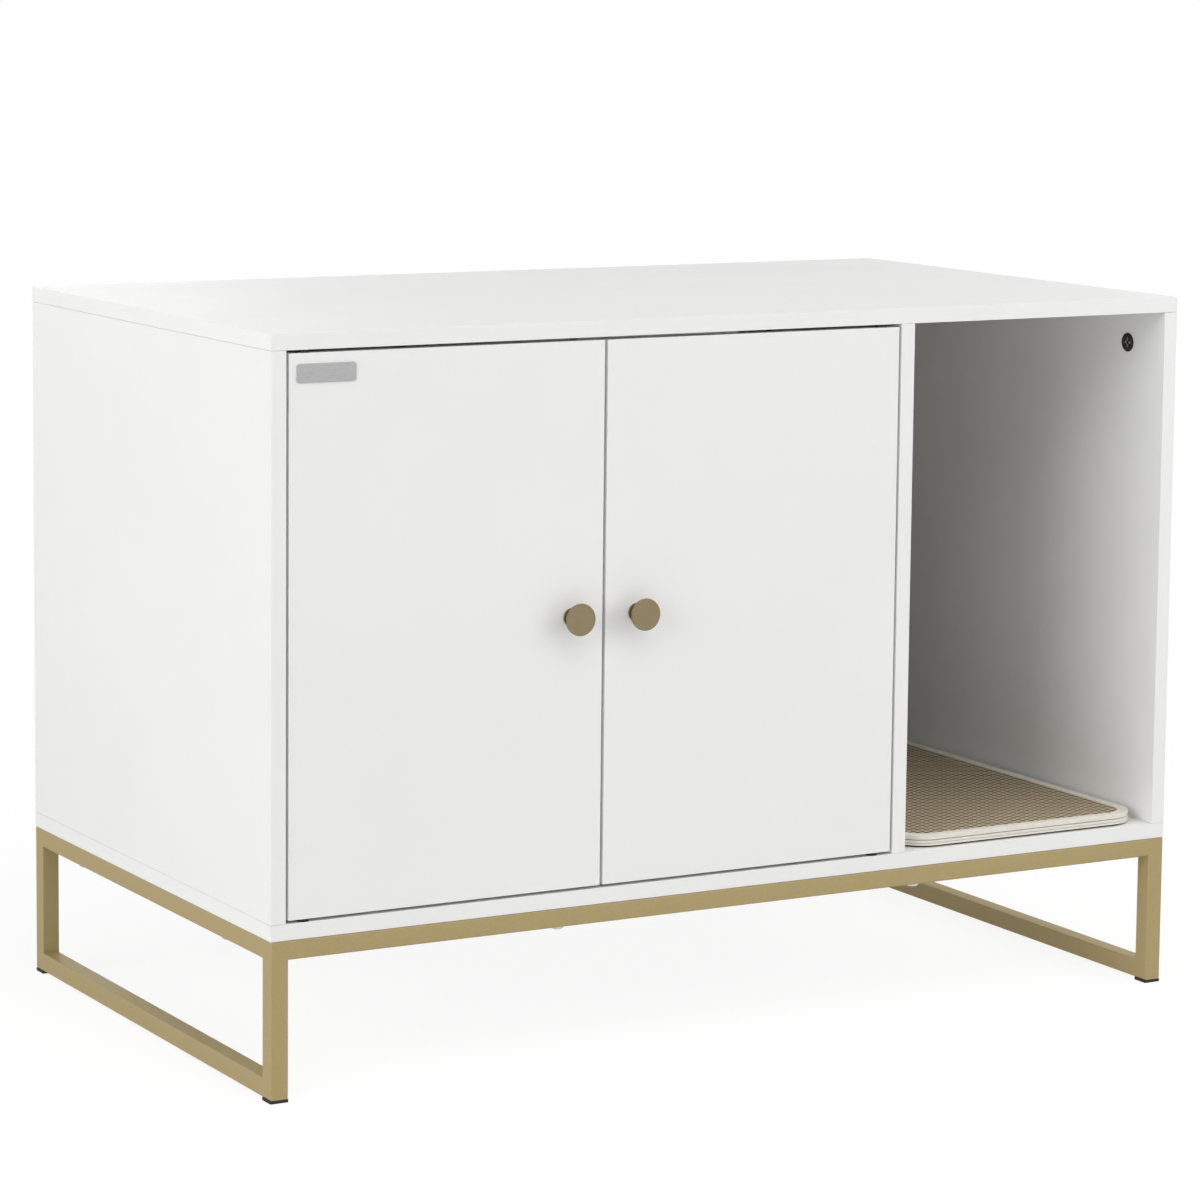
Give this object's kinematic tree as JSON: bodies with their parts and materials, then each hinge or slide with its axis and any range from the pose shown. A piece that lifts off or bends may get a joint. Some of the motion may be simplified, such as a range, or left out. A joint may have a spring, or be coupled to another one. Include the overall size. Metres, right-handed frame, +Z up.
{
  "type": "cat litter box cabinet",
  "caption": "White board cabinet with inset pivot doors over a litter compartment, a passage behind the divider to an open compartment with a mat, and a square-tube steel base.",
  "frame": {"origin": "middle of the overall box, knobs included, on the floor under the foot pads", "axes": "+Z up, -Y to the front with the doors, +X to the right, along the cabinet's width"},
  "size_m": [1, 0.579, 0.7],
  "materials": {
    "white_board": "satin",
    "white_hardboard": "matte",
    "gold_steel": "satin",
    "bronze_metal": "satin",
    "zinc_steel": "satin",
    "grey_plate": "satin",
    "black_plastic": "matte",
    "white_plastic": "matte",
    "black_rubber": "matte",
    "cream_binding": "matte",
    "tan_foam": "matte"
  },
  "bodies": {
    "cabinet": {"top_panel": "white_board", "bottom_panel": "white_board", "left_side_panel": "white_board", "right_side_panel": "white_board", "divider_panel": "white_board", "back_panel": "white_hardboard", "left_side_front_cam_lock": "black_plastic", "left_side_back_cam_lock": "black_plastic", "divider_front_cam_lock": "black_plastic", "divider_back_cam_lock": "black_plastic", "right_side_front_cam_lock": "black_plastic", "right_side_back_cam_lock": "black_plastic", "left_side_front_screw": "zinc_steel", "left_side_back_screw": "zinc_steel", "divider_front_screw": "zinc_steel", "divider_back_screw": "zinc_steel", "right_side_front_screw": "zinc_steel", "right_side_back_screw": "zinc_steel", "magnetic_catch": "white_plastic", "left_lower_pivot_bush": "black_plastic", "left_upper_pivot_bush": "black_plastic", "right_lower_pivot_bush": "black_plastic", "right_upper_pivot_bush": "black_plastic", "left_front_leg": "gold_steel", "left_back_leg": "gold_steel", "right_front_leg": "gold_steel", "right_back_leg": "gold_steel", "left_front_foot_pad": "black_rubber", "left_back_foot_pad": "black_rubber", "right_front_foot_pad": "black_rubber", "right_back_foot_pad": "black_rubber", "left_top_rail": "gold_steel", "left_bottom_rail": "gold_steel", "right_top_rail": "gold_steel", "right_bottom_rail": "gold_steel", "front_rail": "gold_steel", "back_rail": "gold_steel", "front_rail_left_bolt": "zinc_steel", "front_rail_right_bolt": "zinc_steel", "back_rail_left_bolt": "zinc_steel", "back_rail_right_bolt": "zinc_steel", "left_rail_front_bolt": "zinc_steel", "left_rail_back_bolt": "zinc_steel", "right_rail_front_bolt": "zinc_steel", "right_rail_back_bolt": "zinc_steel"},
    "left_door": {"left_door": "white_board", "left_knob": "bronze_metal", "left_knob_screw": "zinc_steel", "left_strike_disc": "zinc_steel", "left_lower_pivot_pin": "black_plastic", "left_upper_pivot_pin": "black_plastic", "name_plate": "grey_plate"},
    "right_door": {"right_door": "white_board", "right_knob": "bronze_metal", "right_knob_screw": "zinc_steel", "right_strike_disc": "zinc_steel", "right_lower_pivot_pin": "black_plastic", "right_upper_pivot_pin": "black_plastic"},
    "mat": {"mat_base": "cream_binding", "mat_honeycomb": "tan_foam"}
  },
  "joints": [
    {"name": "left_door_hinge", "type": "hinge", "parent": "cabinet", "child": "left_door", "pos_m": [-0.465, -0.263, 0.425], "axis": [0, 0, -1], "range_deg": [0, 100]},
    {"name": "right_door_hinge", "type": "hinge", "parent": "cabinet", "child": "right_door", "pos_m": [0.15, -0.263, 0.425], "axis": [0, 0, 1], "range_deg": [0, 100]},
    {"name": "mat_slide", "type": "slide", "parent": "cabinet", "child": "mat", "axis": [0, -1, 0], "range_m": [0, 0.2]}
  ]
}
